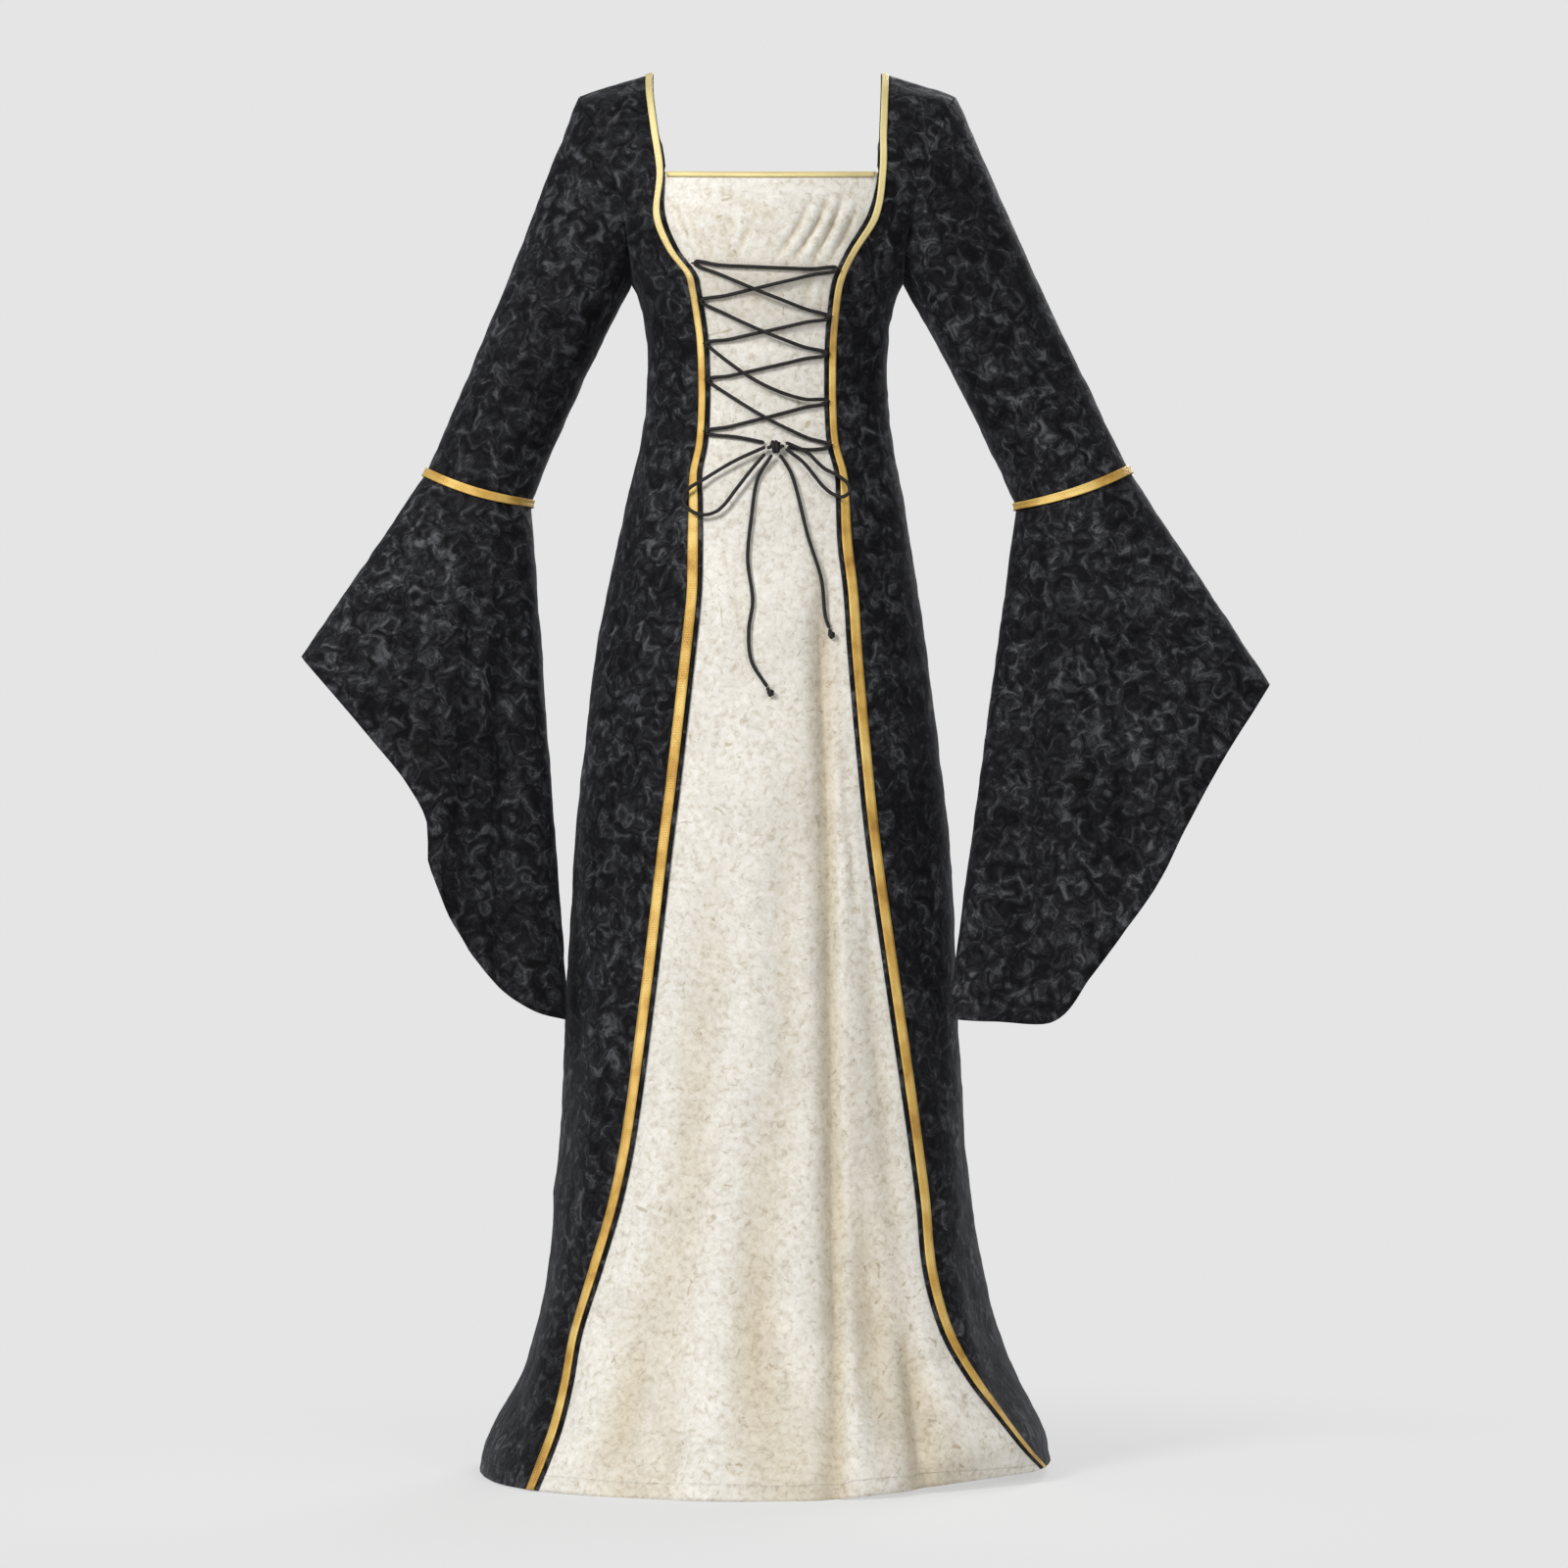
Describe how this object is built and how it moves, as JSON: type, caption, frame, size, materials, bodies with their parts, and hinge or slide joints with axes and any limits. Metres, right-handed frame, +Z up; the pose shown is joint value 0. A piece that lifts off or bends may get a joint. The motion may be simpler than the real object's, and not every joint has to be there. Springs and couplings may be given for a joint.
{
  "type": "medieval gown",
  "caption": "Floor-length medieval-style gown in black crushed velvet with an ivory laced insert, gold trim and long bell sleeves, in its worn shape.",
  "frame": {"origin": "midway between the two shoulder seams, at the height where the gown bears on the wearer's shoulders", "axes": "+X to the wearer's left, -Y to the front, +Z up"},
  "size_m": [0.98, 0.5545, 1.4271],
  "materials": {
    "black_velvet": "crushed velvet",
    "ivory_velvet": "crushed velvet",
    "gold_trim": "woven metallic trim",
    "black_lace": "braided cord"
  },
  "bodies": {
    "root": {"overdress_front_right": "black_velvet", "overdress_front_left": "black_velvet", "overdress_back": "black_velvet", "insert": "ivory_velvet", "sleeve_upper_right": "black_velvet", "sleeve_upper_left": "black_velvet", "sleeve_bell_right": "black_velvet", "sleeve_bell_left": "black_velvet", "trim_front_right": "gold_trim", "trim_front_left": "gold_trim", "trim_neck_back": "gold_trim", "trim_insert_top": "gold_trim", "trim_elbow_right": "gold_trim", "trim_elbow_left": "gold_trim", "lacing": "black_lace", "bow_knot": "black_lace", "bow_loop_right": "black_lace", "bow_loop_left": "black_lace", "lace_tail_right": "black_lace", "lace_tail_left": "black_lace", "lace_tip_right": "black_lace", "lace_tip_left": "black_lace"}
  },
  "joints": []
}
